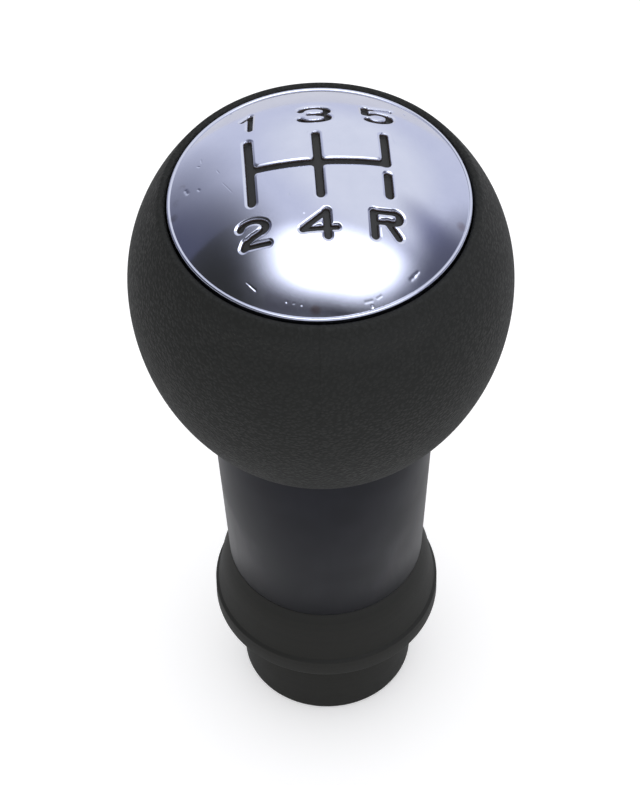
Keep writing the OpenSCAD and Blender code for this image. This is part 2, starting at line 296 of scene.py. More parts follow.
def sunkBy(xy):
    # how far the cap's face lies below the plain dome, in mm
    away = outside(xy)
    edge, soft = np.clip(gate["shoulder"] - away, 0, gate["shoulder"]), gate["shoulderSoft"]
    sunk = gate["shoulderSlope"] * (np.sqrt(edge * edge + soft * soft) - soft)
    inside = np.clip(-away / gate["wall"], 0, 1)
    sunk += (gate["depth"] - sunk) * inside * inside * (3 - 2 * inside)
    for a, b, half, depth in markLines():
        sunk += depth * np.exp(-2 * (awayFrom(xy, a, b) / half) ** 2)
    return sunk


def refineDome(bm):
    # splits the dome's edges that lie beside a recess or a mark until they are short
    for i in range(cap["fineRounds"]):
        ends = np.array([[*e.verts[0].co, *e.verts[1].co] for e in bm.edges]) / mm
        length = np.linalg.norm(ends[:, :3] - ends[:, 3:], axis=1)
        middle = (ends[:, :2] + ends[:, 3:5]) / 2
        away = outside(middle)
        off = np.maximum(away - gate["shoulder"], -gate["wall"] - away)
        for a, b, half, depth in markLines():
            off = np.minimum(off, awayFrom(middle, a, b) - half * cap["markReach"])
        split = length > cap["fineEdge"] + cap["coarsen"] * np.maximum(off, 0)
        edges = [edge for edge, wanted in zip(bm.edges, split) if wanted]
        if not edges:
            break
        bmesh.ops.subdivide_edges(bm, edges=edges, cuts=1, use_grid_fill=True)
        bmesh.ops.triangulate(bm, faces=[f for f in bm.faces if len(f.verts) > 4])


def legMesh(outR, hookTop, topZ):
    # one snap leg: its section drawn with the pen and swung through its width
    inR, hookFoot, hookR = outR - cap["legWall"], hookTop - cap["hookHeight"], outR + cap["hook"]
    bm, first = startPen(inR, topZ)
    pen = lineTo(bm, first, inR, hookFoot)
    pen = lineTo(bm, pen, outR - cap["legLead"], hookFoot)
    pen = lineTo(bm, pen, hookR, hookTop - cap["hookHeight"] / 2)
    pen = lineTo(bm, pen, hookR, hookTop)
    pen = lineTo(bm, pen, outR, hookTop)
    pen = lineTo(bm, pen, outR, topZ)
    bmesh.ops.contextual_create(bm, geom=[first, pen])
    section = bmesh.ops.contextual_create(bm, geom=bm.edges[:])["faces"]
    swing = math.radians(cap["legAngle"])
    bmesh.ops.rotate(bm, cent=(0, 0, 0), matrix=Matrix.Rotation(-swing / 2, 3, "Z"), verts=bm.verts)
    bmesh.ops.spin(bm, geom=section, cent=(0, 0, 0), axis=(0, 0, 1), angle=swing, steps=10)
    mesh = bpy.data.meshes.new("leg")
    bm.to_mesh(mesh)
    bm.free()
    return mesh


def makeCap(material):
    bead, domeR = cap["rimBead"], cap["domeR"]
    rimZ = lipTop + cap["rimStand"]
    beadR = capR - bead
    centreZ = domeTop - domeR
    edgeR = cap["edgeR"]
    edgeAngle = math.degrees(math.asin(edgeR / domeR))
    edgeZ = centreZ + domeR * math.cos(math.radians(edgeAngle))

    # the dome alone first, so that only its own edges are refined
    bm, pen = startPen(0, domeTop)
    sliver = 0.12            # degrees, a thin last ring that keeps the bead's bend off the dome
    pen = arcRound(bm, pen, 0, centreZ, sliver - edgeAngle, round(edgeR / cap["ringStep"]))
    pen = arcRound(bm, pen, 0, centreZ, -sliver, 1)
    turnRound(bm, steps=turns // 2)
    refineDome(bm)
    centre = Vector((0, 0, centreZ * mm))
    rays = [(v.co - centre).normalized() for v in bm.verts]
    plain = np.array([[ray.x, ray.y] for ray in rays]) * domeR
    sunk = sunkBy(plain)
    sunk[np.hypot(plain[:, 0], plain[:, 1]) > edgeR - cap["plainRim"]] = 0
    for vert, ray, depth in zip(bm.verts, rays, sunk):
        vert.co = centre + ray * (domeR - depth) * mm
    dome = bpy.data.meshes.new("dome")
    bm.to_mesh(dome)
    bm.free()

    # bead, skirt and the inside, turned as one profile
    bm, pen = startPen(edgeR, edgeZ)
    start = math.degrees(math.atan2(edgeZ - rimZ, edgeR - beadR))
    pen = lineTo(bm, pen, beadR + bead * math.cos(math.radians(start)),
                 rimZ + bead * math.sin(math.radians(start)))
    pen = arcRound(bm, pen, beadR, rimZ, -start, 14)
    ledgeZ = rimZ - cap["skirt"]
    pen = lineTo(bm, pen, capR, rimZ)
    pen = lineTo(bm, pen, capR, ledgeZ)
    innerR = capR - cap["wall"]
    pen = lineTo(bm, pen, innerR, ledgeZ)
    innerDome = domeR - cap["wall"]
    innerAngle = math.degrees(math.asin(innerR / innerDome))
    pen = lineTo(bm, pen, innerR, centreZ + innerDome * math.cos(math.radians(innerAngle)))
    arcRound(bm, pen, 0, centreZ, innerAngle, 24)
    turnRound(bm, steps=turns // 2)
    softenRings(bm, 0.1, sharper=60)
    bm.from_mesh(dome)
    bpy.data.meshes.remove(dome)
    bmesh.ops.remove_doubles(bm, verts=bm.verts, dist=0.02 * mm)
    bmesh.ops.recalc_face_normals(bm, faces=bm.faces)

    leg = legMesh(innerR - cap["legSpace"], ledgeZ - cap["ledge"], centreZ + innerDome * cap["legTop"])
    leg.transform(Matrix.Rotation(math.radians(90), 4, "Z"))
    for i in range(cap["legs"]):
        bm.from_mesh(leg)
        leg.transform(Matrix.Rotation(math.radians(360 / cap["legs"]), 4, "Z"))
    bpy.data.meshes.remove(leg)
    bmesh.ops.recalc_face_normals(bm, faces=bm.faces)
    return finishPiece(bm, "shiftCap", material, "chrome_cap")


def roundDomeNormals(piece):
    # exact normals on the dome's face, so that the chrome mirrors without ripples
    mesh = piece.data
    centre = np.array([0, 0, domeTop - cap["domeR"]])
    points = np.array([v.co for v in mesh.vertices]) / mm
    rays = points - centre
    radius = np.linalg.norm(rays, axis=1)
    rays /= radius[:, None]
    plain = rays[:, :2] * cap["domeR"]
    step = 0.02              # mm, for the slopes
    slopeX = (sunkBy(plain + (step, 0)) - sunkBy(plain - (step, 0))) / (2 * step)
    slopeY = (sunkBy(plain + (0, step)) - sunkBy(plain - (0, step))) / (2 * step)
    slope = np.stack([slopeX, slopeY, np.zeros(len(points))], 1)
    slope -= rays * (slope * rays).sum(1)[:, None]
    exact = rays + slope
    exact /= np.linalg.norm(exact, axis=1)[:, None]
    normals = np.array([n.vector for n in mesh.vertex_normals])
    onFace = np.hypot(points[:, 0], points[:, 1]) < cap["edgeR"] - step
    onFace &= (radius > cap["domeR"] - cap["deepest"]) & (points[:, 2] > lipTop)
    normals[onFace] = exact[onFace]
    mesh.normals_split_custom_set_from_vertices(normals.tolist())


# Moulded skin of the ball
skin = {
    "centreZ": 81.5,         # height of the widest ring
    "upperArc": 27.6,
    "lowerArc": 35.9,
    "wall": 2.2,
    "lip": 0.62,             # rounding of the lip
    "gap": 0.17,             # groove round the cap
    "neckPlay": 0.1,
    "land": 0.35,
}


def makeSkin(material):
    centreZ, upper, lower, wall, lip = (skin[k] for k in ("centreZ", "upperArc", "lowerArc", "wall", "lip"))
    upperR, lowerR = ballR - upper, ballR - lower       # arc centres
    lipIn = capR + skin["gap"]
    lipAngle = math.degrees(math.acos((lipIn + lip - upperR) / (upper - lip)))
    lipZ = centreZ + (upper - lip) * math.sin(math.radians(lipAngle))
    footAngle = math.degrees(math.asin((centreZ - skinFoot) / lower))
    footR = lowerR + lower * math.cos(math.radians(footAngle))
    neckTop = neckHigh.z / mm
    ledgeZ = lipTop + cap["rimStand"] - cap["skirt"]
    bm, first = startPen(footR, skinFoot)
    pen = arcRound(bm, first, lowerR, centreZ, footAngle, 70)
    pen = arcRound(bm, pen, upperR, centreZ, lipAngle, 44)
    pen = arcRound(bm, pen, lipIn + lip, lipZ, 180 - lipAngle, 12)
    pen = lineTo(bm, pen, lipIn, ledgeZ)
    innerUp, innerDown = upper - wall, lower - wall
    ledgeAngle = math.degrees(math.asin((ledgeZ - centreZ) / innerUp))
    pen = lineTo(bm, pen, upperR + innerUp * math.cos(math.radians(ledgeAngle)), ledgeZ)
    pen = arcRound(bm, pen, upperR, centreZ, -ledgeAngle, 20)
    neckAngle = math.degrees(math.asin((centreZ - neckTop) / innerDown))
    pen = arcRound(bm, pen, lowerR, centreZ, -neckAngle, 24)
    pen = lineTo(bm, pen, neckHigh.x / mm + skin["neckPlay"], neckTop)
    pen = lineTo(bm, pen, footR - skin["land"], skinFoot)
    turnRound(bm, first, pen)
    softenRings(bm, 0.12, sharper=40)
    return finishPiece(bm, "gripSkin", material, "grip_skin")


# Neck sleeve
neck = {
    "footR": 13.35,
    "wall": 1.9,
    "ribs": 6,
    "ribWall": 1.6,
    "ribFrom": 28.4,
    "ribIn": 11.45,
}


def makeNeck(material):
    topR, topZ, footZ = neckHigh.x / mm, neckHigh.z / mm, neckLow.z / mm
    footR, wall = neck["footR"], neck["wall"]
    bm, first = startPen(footR, footZ)
    pen = lineTo(bm, first, topR, topZ)
    pen = lineTo(bm, pen, topR - wall, topZ)
    pen = lineTo(bm, pen, footR - wall, footZ)
    turnRound(bm, first, pen)
    softenRings(bm, 0.14)
    # webs that centre the sleeve on the core's shank, their outer edge sunk in its wall
    for i in range(neck["ribs"]):
        web = bmesh.ops.create_cube(bm, size=1)["verts"]
        low, high = neck["ribFrom"], topZ
        deep = footR - wall / 2 - neck["ribIn"]
        shape = Matrix.Diagonal((deep * mm, neck["ribWall"] * mm, (high - low) * mm, 1))
        place = Matrix.Translation(((neck["ribIn"] + deep / 2) * mm, 0, (low + high) / 2 * mm))
        turn = Matrix.Rotation(math.radians(360 / neck["ribs"] * (i + 0.5)), 4, "Z")
        bmesh.ops.transform(bm, matrix=turn @ place @ shape, verts=web)
    return finishPiece(bm, "neckSleeve", material, "neck_sleeve")


# Gaiter collar
collar = {
    "edge": 0.4,
    "band": 3.4,             # upright rim
    "bendR": 14.468,
    "bendZ": 21.0,
    "wall": 1.5,
    "spigotR": 11.35,
    "boreR": 10.0,
    "pocketR": 12.3,
}


def makeCollar(material):
    rimR, footZ, spigotZ = collarHigh.x / mm, collarLow.z / mm, collarHigh.z / mm
    topZ, edge, band = neckLow.z / mm, collar["edge"], collar["band"]
    bm, first = startPen(collar["boreR"], footZ)
    pen = lineTo(bm, first, collar["pocketR"], footZ)
    pen = lineTo(bm, pen, collar["pocketR"], collar["bendZ"])
    pen = lineTo(bm, pen, rimR - collar["wall"], footZ + band)
    pen = lineTo(bm, pen, rimR - collar["wall"], footZ)
    pen = lineTo(bm, pen, rimR - edge, footZ)
    pen = lineTo(bm, pen, rimR, footZ + edge)
    pen = lineTo(bm, pen, rimR, footZ + band - edge)
    pen = lineTo(bm, pen, rimR - edge, footZ + band)
    pen = lineTo(bm, pen, collar["bendR"], collar["bendZ"])
    pen = lineTo(bm, pen, neck["footR"], topZ)
    pen = lineTo(bm, pen, collar["spigotR"], topZ)
    pen = lineTo(bm, pen, collar["spigotR"], spigotZ)
    pen = lineTo(bm, pen, collar["boreR"], spigotZ)
    turnRound(bm, first, pen)
    softenRings(bm, 0.12, sharper=20)
    return finishPiece(bm, "gaiterCollar", material, "gaiter_collar")


# Lower ring
lowerRing = {
    "round": 0.7,
    "lip": 1.2,
    "lipBoreR": 7.0,
    "tubeR": 10.0,
    "grooveZ": 8.432,        # groove that takes the tube's snap bead
    "groove": 0.5,
    "grooveHalf": 0.9,
}


def makeRing(material):
    outR, topZ, small = ringHigh.x / mm, ringHigh.z / mm, lowerRing["round"]
    tubeR, mid = lowerRing["tubeR"], lowerRing["grooveZ"]
    bm, first = startPen(lowerRing["lipBoreR"], 0)
    pen = lineTo(bm, first, outR - small, 0)
    pen = arcRound(bm, pen, outR - small, small, 90, 6)
    pen = lineTo(bm, pen, outR, topZ)
    pen = lineTo(bm, pen, tubeR, topZ)
    pen = lineTo(bm, pen, tubeR, mid + lowerRing["grooveHalf"])
    pen = lineTo(bm, pen, tubeR + lowerRing["groove"] - 0.1, mid)
    pen = lineTo(bm, pen, tubeR, mid - lowerRing["grooveHalf"])
    pen = lineTo(bm, pen, tubeR, lowerRing["lip"])
    pen = lineTo(bm, pen, lowerRing["lipBoreR"], lowerRing["lip"])
    turnRound(bm, first, pen)
    softenRings(bm, 0.1, sharper=30)
    return finishPiece(bm, "lowerRing", material, "base_ring")


# Materials

def spotAround(tree, place, x, y, size, ragged=None):
    # 1 on the dome at x, y in mm, falling to 0 at the given radius; a noise makes its edge ragged
    z = domeTop - cap["domeR"] + math.sqrt(cap["domeR"] ** 2 - x * x - y * y)
    gap = addNode(tree, "ShaderNodeVectorMath", {"operation": "DISTANCE", 1: (x * mm, y * mm, z * mm)},
                  {0: place})
    spot = addNode(tree, "ShaderNodeMapRange", {"interpolation_type": "SMOOTHSTEP", "From Min": size * mm,
                                                "From Max": size * 0.3 * mm}, {"Value": gap.outputs["Value"]})
    if not ragged:
        return spot.outputs[0]
    edge = addNode(tree, "ShaderNodeMapRange", {"From Min": 0.35, "From Max": 0.6}, {"Value": ragged})
    both = addNode(tree, "ShaderNodeMath", {"operation": "MULTIPLY"}, {0: spot.outputs[0], 1: edge.outputs[0]})
    return both.outputs[0]


def platedZinc():
    # bright chrome plate on die-cast zinc: a cool mirror with fine wear, black enamel in its recesses
    look = {
        "chrome": "#cfd1e0", "chromeWorn": "#c3c6d8", "enamel": "#1b1a18", "enamelThin": "#3e281b",
        "paintedFrom": 0.38,      # share of the recess depth where the enamel starts
        "paintedIn": 2.4,         # mm from the cap's edge, the enamel stays further in
        "paintedDown": 1.1,       # mm below the dome, the cap's inside has none
        # bare chips in the enamel and tinted spots near the plate's rim: x, y, radius, and a spot's colour and
        # strength
        "chips": [(0.5, -8.55, 0.16), (0.38, -6.7, 0.12), (9.4, 13.1, 1.3), (8.2, 12.9, 0.7)],
        "rimTints": [(-17.3, 2.6, 0.8, "#8a8078", 0.6), (-18.0, 0.6, 0.9, "#8f8a8c", 0.55),
                    (-18.5, -1.6, 0.8, "#8f8a8c", 0.5), (-1.7, -18.1, 0.9, "#8a5a40", 0.55),
                    (17.5, -5.8, 0.9, "#8c7276", 0.5), (-16.7, 1.6, 0.35, "#3c4660", 0.7)],
        "scratchWidth": 0.18,     # mm
        "cloudSize": 3.0,         # mm, faint patches left by handling
    }
    material, tree, shader, place = newMaterial("platedZinc")
    centre = (0, 0, (domeTop - cap["domeR"]) * mm)
    ray = addNode(tree, "ShaderNodeVectorMath", {"operation": "SUBTRACT", 1: centre}, {0: place})
    far = addNode(tree, "ShaderNodeVectorMath", {"operation": "LENGTH"}, {0: ray.outputs["Vector"]})
    depth = addNode(tree, "ShaderNodeMapRange", {
        "From Min": cap["domeR"] * mm, "From Max": (cap["domeR"] - gate["depth"]) * mm},
        {"Value": far.outputs["Value"]})
    flat = addNode(tree, "ShaderNodeVectorMath", {"operation": "MULTIPLY", 1: (1, 1, 0)}, {0: place})
    radius = addNode(tree, "ShaderNodeVectorMath", {"operation": "LENGTH"}, {0: flat.outputs["Vector"]})
    onDome = addNode(tree, "ShaderNodeMath", {"operation": "LESS_THAN", 1: (capR - look["paintedIn"]) * mm},
                     {0: radius.outputs["Value"]})
    outer = addNode(tree, "ShaderNodeMath", {
        "operation": "GREATER_THAN", 1: (cap["domeR"] - look["paintedDown"]) * mm}, {0: far.outputs["Value"]})
    allowed = addNode(tree, "ShaderNodeMath", {"operation": "MULTIPLY"},
                      {0: onDome.outputs[0], 1: outer.outputs[0]})
    enamelDepth = addNode(tree, "ShaderNodeMath", {"operation": "MULTIPLY"},
                          {0: depth.outputs[0], 1: allowed.outputs[0]})
    start = look["paintedFrom"]
    for x, y, size in look["chips"]:
        bare = spotAround(tree, place, x, y, size)
        enamelDepth = addNode(tree, "ShaderNodeMath", {"operation": "SUBTRACT"},
                              {0: enamelDepth.outputs[0], 1: bare})
    painted = setRamp(addNode(tree, "ShaderNodeValToRGB", {}, {"Fac": enamelDepth.outputs[0]}),
                      [(start, grey(0)), (start + 0.08, grey(1))])
    thin = setRamp(addNode(tree, "ShaderNodeValToRGB", {}, {"Fac": enamelDepth.outputs[0]}),
                   [(start + 0.1, toLinear(look["enamelThin"])), (start + 0.4, toLinear(look["enamel"]))])

    clouds = addNode(tree, "ShaderNodeTexNoise", {"Scale": 1 / (look["cloudSize"] * mm), "Detail": 5.0,
                                                  "Roughness": 0.6}, {"Vector": place})
    worn = addNode(tree, "ShaderNodeMix", {"data_type": "RGBA", 6: toLinear(look["chrome"]),
                                           7: toLinear(look["chromeWorn"])}, {0: clouds.outputs["Fac"]})
    # spots near the rim mix a darker colour into the plate, with ragged edges
    for x, y, size, spotTint, strength in look["rimTints"]:
        spot = spotAround(tree, place, x, y, size, clouds.outputs["Fac"])
        tintShare = addNode(tree, "ShaderNodeMath", {"operation": "MULTIPLY", 1: strength}, {0: spot})
        worn = addNode(tree, "ShaderNodeMix", {"data_type": "RGBA", 7: toLinear(spotTint)},
                       {0: tintShare.outputs[0], 6: worn.outputs[2]})
    colour = addNode(tree, "ShaderNodeMix", {"data_type": "RGBA"},
                     {0: painted.outputs["Color"], 6: worn.outputs[2], 7: thin.outputs["Color"]})
    tree.links.new(colour.outputs[2], shader.inputs["Base Color"])
    metal = addNode(tree, "ShaderNodeMath", {"operation": "SUBTRACT", 0: 1.0}, {1: painted.outputs["Color"]})
    tree.links.new(metal.outputs[0], shader.inputs["Metallic"])

    # polishing haze: long thin scratches
    stretch = addNode(tree, "ShaderNodeMapping", {"Rotation": (0, 0, 0.5), "Scale": (1, 0.06, 1)},
                      {"Vector": place})
    scratches = addNode(tree, "ShaderNodeTexNoise", {"Scale": 1 / (look["scratchWidth"] * mm), "Detail": 3.0},
                        {"Vector": stretch.outputs[0]})
    haze = addNode(tree, "ShaderNodeMath", {"operation": "MULTIPLY"},
                   {0: scratches.outputs["Fac"], 1: clouds.outputs["Fac"]})
    gloss = addNode(tree, "ShaderNodeMapRange", {"From Min": 0.1, "From Max": 0.5, "To Min": 0.07,
                                                 "To Max": 0.16}, {"Value": haze.outputs[0]})
    rough = addNode(tree, "ShaderNodeMix", {"data_type": "FLOAT", 3: 0.62},
                    {0: painted.outputs["Color"], 2: gloss.outputs[0]})
    tree.links.new(rough.outputs[0], shader.inputs["Roughness"])
    bump = addNode(tree, "ShaderNodeBump", {"Strength": 0.06, "Distance": 0.02 * mm},
                   {"Height": clouds.outputs["Fac"]})
    tree.links.new(bump.outputs[0], shader.inputs["Normal"])
    return material


def grainedVinyl():
    # soft PVC skin moulded with a leather grain: small pebbles with finer wrinkles between them
    # the creases' colour below is painted shade, a little darker than the pebbles' tops
    look = {"colour": "#1f201e", "creaseShade": "#1b1c1a",
            "pebble": 0.52, "wrinkle": 0.26, "bend": 0.8, "depth": 0.08,     # mm
            "partingAt": -93.5, "partingWidth": 0.22, "patch": 7.0,
            # crescent below the lip, polished by the hand, from and to a distance in front of the axis
            "ringR": 22.1, "ringHalf": 1.1, "crescent": (14, 21), "polish": 0.26}
    material, tree, shader, place = newMaterial("grainedVinyl")
    warp = addNode(tree, "ShaderNodeTexNoise", {"Scale": 1 / (1.1 * mm), "Detail": 3.0}, {"Vector": place})
    bend = look["bend"] * mm
    bent = addNode(tree, "ShaderNodeVectorMath", {"operation": "MULTIPLY_ADD", 1: (bend, bend, bend)},
                   {0: warp.outputs["Color"], 2: place})
    pebbles = addNode(tree, "ShaderNodeTexVoronoi", {"feature": "SMOOTH_F1", "Smoothness": 0.35,
                                                     "Scale": 1 / (look["pebble"] * mm)},
                      {"Vector": bent.outputs["Vector"]})
    domes = addNode(tree, "ShaderNodeMapRange", {"interpolation_type": "SMOOTHSTEP", "From Min": 0.75,
                                                 "From Max": 0.15}, {"Value": pebbles.outputs["Distance"]})
    wrinkles = addNode(tree, "ShaderNodeTexNoise", {"Scale": 1 / (look["wrinkle"] * mm), "Detail": 3.0,
                                                    "Roughness": 0.55, "Distortion": 0.8},
                       {"Vector": bent.outputs["Vector"]})
    height = addNode(tree, "ShaderNodeMath", {"operation": "ADD"},
                     {0: domes.outputs[0], 1: wrinkles.outputs["Fac"]})

    # parting line of the mould, down the front
    turn = math.radians(look["partingAt"])
    across = addNode(tree, "ShaderNodeVectorMath", {"operation": "DOT_PRODUCT",
                                                    1: (-math.sin(turn), math.cos(turn), 0)}, {0: place})
    along = addNode(tree, "ShaderNodeVectorMath", {"operation": "DOT_PRODUCT",
                                                   1: (math.cos(turn), math.sin(turn), 0)}, {0: place})
    off = addNode(tree, "ShaderNodeMath", {"operation": "ABSOLUTE"}, {0: across.outputs["Value"]})
    line = addNode(tree, "ShaderNodeMapRange", {"From Min": 0.0, "From Max": look["partingWidth"] * mm,
                                                "To Min": 1.0, "To Max": 0.0}, {"Value": off.outputs[0]})
    front = addNode(tree, "ShaderNodeMath", {"operation": "GREATER_THAN", 1: 0.0}, {0: along.outputs["Value"]})
    seam = addNode(tree, "ShaderNodeMath", {"operation": "MULTIPLY"}, {0: line.outputs[0], 1: front.outputs[0]})
    full = addNode(tree, "ShaderNodeMath", {"operation": "ADD"}, {0: height.outputs[0], 1: seam.outputs[0]})
    bump = addNode(tree, "ShaderNodeBump", {"Strength": 0.9, "Distance": look["depth"] * mm},
                   {"Height": full.outputs[0]})
    tree.links.new(bump.outputs[0], shader.inputs["Normal"])

    # handling has made broad patches slightly shinier
    patches = addNode(tree, "ShaderNodeTexNoise", {"Scale": 1 / (look["patch"] * mm), "Detail": 3.0},
                      {"Vector": place})
    # pebble tops take the skin's colour and the creases between them a darker one: painted shade in the creases
    tone = addNode(tree, "ShaderNodeMix", {"data_type": "RGBA", 6: toLinear(look["creaseShade"]),
                                           7: toLinear(look["colour"])}, {0: domes.outputs[0]})
    tree.links.new(tone.outputs[2], shader.inputs["Base Color"])
    shine = addNode(tree, "ShaderNodeMath", {"operation": "MULTIPLY"},
                    {0: patches.outputs["Fac"], 1: domes.outputs[0]})
    dull = addNode(tree, "ShaderNodeMapRange", {"From Min": 0.0, "From Max": 0.7, "To Min": 0.72,
                                                "To Max": 0.55}, {"Value": shine.outputs[0]})
    flat = addNode(tree, "ShaderNodeVectorMath", {"operation": "MULTIPLY", 1: (1, 1, 0)}, {0: place})
    radius = addNode(tree, "ShaderNodeVectorMath", {"operation": "LENGTH"}, {0: flat.outputs["Vector"]})
    offRing = addNode(tree, "ShaderNodeMath", {"operation": "SUBTRACT", 1: look["ringR"] * mm},
                      {0: radius.outputs["Value"]})
    beside = addNode(tree, "ShaderNodeMath", {"operation": "ABSOLUTE"}, {0: offRing.outputs[0]})
    ring = addNode(tree, "ShaderNodeMapRange", {
        "interpolation_type": "SMOOTHSTEP", "From Min": look["ringHalf"] * mm, "From Max": 0.0},
        {"Value": beside.outputs[0]})
    upright = addNode(tree, "ShaderNodeSeparateXYZ", {}, {0: place})
    upper = addNode(tree, "ShaderNodeMath", {"operation": "GREATER_THAN", 1: skin["centreZ"] * mm},
                    {0: upright.outputs["Z"]})
    above = addNode(tree, "ShaderNodeMath", {"operation": "MULTIPLY"},
                    {0: ring.outputs[0], 1: upper.outputs[0]})
    crescentFrom, crescentFull = look["crescent"]
    facing = addNode(tree, "ShaderNodeMapRange", {
        "interpolation_type": "SMOOTHSTEP", "From Min": crescentFrom * mm, "From Max": crescentFull * mm},
        {"Value": along.outputs["Value"]})
    rubbed = addNode(tree, "ShaderNodeMath", {"operation": "MULTIPLY"},
                     {0: above.outputs[0], 1: facing.outputs[0]})
    polish = addNode(tree, "ShaderNodeMath", {"operation": "MULTIPLY", 1: look["polish"]},
                     {0: rubbed.outputs[0]})
    rough = addNode(tree, "ShaderNodeMath", {"operation": "SUBTRACT"},
                    {0: dull.outputs[0], 1: polish.outputs[0]})
    tree.links.new(rough.outputs[0], shader.inputs["Roughness"])
    shader.inputs["Specular IOR Level"].default_value = 0.22
    return material


def satinAbs():
    # ABS from a fine-blasted mould: an even satin that rubbing has polished in streaks
    look = {"colour": "#0f1013", "rubbed": "#17181d", "blast": 0.16, "streak": 1.4, "patch": 9}
    material, tree, shader, place = newMaterial("satinAbs")
    blast = addNode(tree, "ShaderNodeTexNoise", {"Scale": 1 / (look["blast"] * mm), "Detail": 2.0},
                    {"Vector": place})
    slant = addNode(tree, "ShaderNodeMapping", {"Rotation": (0.5, 0.3, 0), "Scale": (1, 1, 0.16)},
                    {"Vector": place})
    streaks = addNode(tree, "ShaderNodeTexNoise", {"Scale": 1 / (look["streak"] * mm), "Detail": 4.0,
                                                   "Roughness": 0.65}, {"Vector": slant.outputs[0]})
    patch = addNode(tree, "ShaderNodeTexNoise", {"Scale": 1 / (look["patch"] * mm), "Detail": 1.0},
                    {"Vector": place})
    where = addNode(tree, "ShaderNodeMapRange", {"From Min": 0.45, "From Max": 0.62},
                    {"Value": patch.outputs["Fac"]})
    rub = addNode(tree, "ShaderNodeMath", {"operation": "MULTIPLY"},
                  {0: streaks.outputs["Fac"], 1: where.outputs[0]})
    tone = addNode(tree, "ShaderNodeMix", {"data_type": "RGBA", 6: toLinear(look["colour"]),
                                           7: toLinear(look["rubbed"])}, {0: rub.outputs[0]})
    tree.links.new(tone.outputs[2], shader.inputs["Base Color"])
    rough = addNode(tree, "ShaderNodeMapRange", {"From Min": 0.0, "From Max": 0.8, "To Min": 0.4,
                                                 "To Max": 0.33}, {"Value": rub.outputs[0]})
    tree.links.new(rough.outputs[0], shader.inputs["Roughness"])
    bump = addNode(tree, "ShaderNodeBump", {"Strength": 0.2, "Distance": 0.01 * mm},
                   {"Height": blast.outputs["Fac"]})
    tree.links.new(bump.outputs[0], shader.inputs["Normal"])
    shader.inputs["Specular IOR Level"].default_value = 0.18
    shader.inputs["Specular Tint"].default_value = toLinear("#e6e8ff")
    return material


def mattPolypropylene():
    # talc-filled polypropylene, spark-eroded texture: dull, with faint rings from the turned mould
    look = {"colour": "#181815", "light": "#1d1d19", "spark": 0.14, "ring": 0.9}
    material, tree, shader, place = newMaterial("mattPolypropylene")
    spark = addNode(tree, "ShaderNodeTexNoise", {"Scale": 1 / (look["spark"] * mm), "Detail": 3.0},
                    {"Vector": place})
    upright = addNode(tree, "ShaderNodeSeparateXYZ", {}, {0: place})
    rings = addNode(tree, "ShaderNodeTexNoise", {"noise_dimensions": "1D", "Scale": 1 / (look["ring"] * mm),
                                                 "Detail": 2.0}, {"W": upright.outputs["Z"]})
    tone = addNode(tree, "ShaderNodeMix", {"data_type": "RGBA", 6: toLinear(look["colour"]),
                                           7: toLinear(look["light"])}, {0: rings.outputs["Fac"]})
    tree.links.new(tone.outputs[2], shader.inputs["Base Color"])
    rough = addNode(tree, "ShaderNodeMapRange", {"To Min": 0.5, "To Max": 0.68},
                    {"Value": spark.outputs["Fac"]})
    tree.links.new(rough.outputs[0], shader.inputs["Roughness"])
    height = addNode(tree, "ShaderNodeMath", {"operation": "MULTIPLY_ADD", 1: 2.0},
                     {0: rings.outputs["Fac"], 2: spark.outputs["Fac"]})
    bump = addNode(tree, "ShaderNodeBump", {"Strength": 0.25, "Distance": 0.02 * mm},
                   {"Height": height.outputs[0]})
    tree.links.new(bump.outputs[0], shader.inputs["Normal"])
    shader.inputs["Specular IOR Level"].default_value = 0.25
    return material


def plainFinish(name, colour, dark, metallic, low, high, grain, depth, ringed=False):
    # shared build of the hidden pieces' finishes: two tones and a grain of the real size
    material, tree, shader, place = newMaterial(name)
    source = place
    if ringed:
        flat = addNode(tree, "ShaderNodeVectorMath", {"operation": "MULTIPLY", 1: (1, 1, 0)}, {0: place})
        length = addNode(tree, "ShaderNodeVectorMath", {"operation": "LENGTH"}, {0: flat.outputs["Vector"]})
        source = length.outputs["Value"]
    grainNode = addNode(tree, "ShaderNodeTexNoise", {"Scale": 1 / (grain * mm), "Detail": 3.0},
                        {"Vector": source})
    tone = addNode(tree, "ShaderNodeMix", {"data_type": "RGBA", 6: toLinear(dark), 7: toLinear(colour)},
                   {0: grainNode.outputs["Fac"]})
    tree.links.new(tone.outputs[2], shader.inputs["Base Color"])
    rough = addNode(tree, "ShaderNodeMapRange", {"To Min": low, "To Max": high},
                    {"Value": grainNode.outputs["Fac"]})
    tree.links.new(rough.outputs[0], shader.inputs["Roughness"])
    bump = addNode(tree, "ShaderNodeBump", {"Strength": 0.3, "Distance": depth * mm},
                   {"Height": grainNode.outputs["Fac"]})
    tree.links.new(bump.outputs[0], shader.inputs["Normal"])
    shader.inputs["Metallic"].default_value = metallic
    return material


def dressHidden():
    # each hidden CAD node keeps its shape and gets the finish of the real piece
    nylon = plainFinish("glassFilledNylon", "#343433", "#262625", 0, 0.45, 0.6, 0.3, 0.02)
    steel = plainFinish("turnedSteel", "#a9a9ab", "#8c8c8f", 1, 0.25, 0.45, 0.12, 0.01, ringed=True)
    zinc = plainFinish("zincPlate", "#c9cacd", "#aeb0b5", 1, 0.2, 0.4, 0.5, 0.01)
    acetal = plainFinish("naturalNylon", "#dcd8cc", "#cfcabc", 0, 0.35, 0.5, 0.8, 0.01)
    rubber = plainFinish("mouldedRubber", "#232323", "#1b1b1b", 0, 0.7, 0.85, 0.25, 0.02)
    finishes = {
        "core_crown": nylon, "core_bowl": nylon, "core_weight": steel, "weight_screws": zinc,
        "lever_bush": acetal, "clamp_spring": zinc, "damper_sleeve": rubber, "stop_pad": rubber,
    }
    for name, material in finishes.items():
        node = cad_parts[name]
        if not node.material_slots:
            node.data.materials.append(material)
        for slot in node.material_slots:
            slot.material = material
    print("dressed", len(finishes), "hidden nodes")


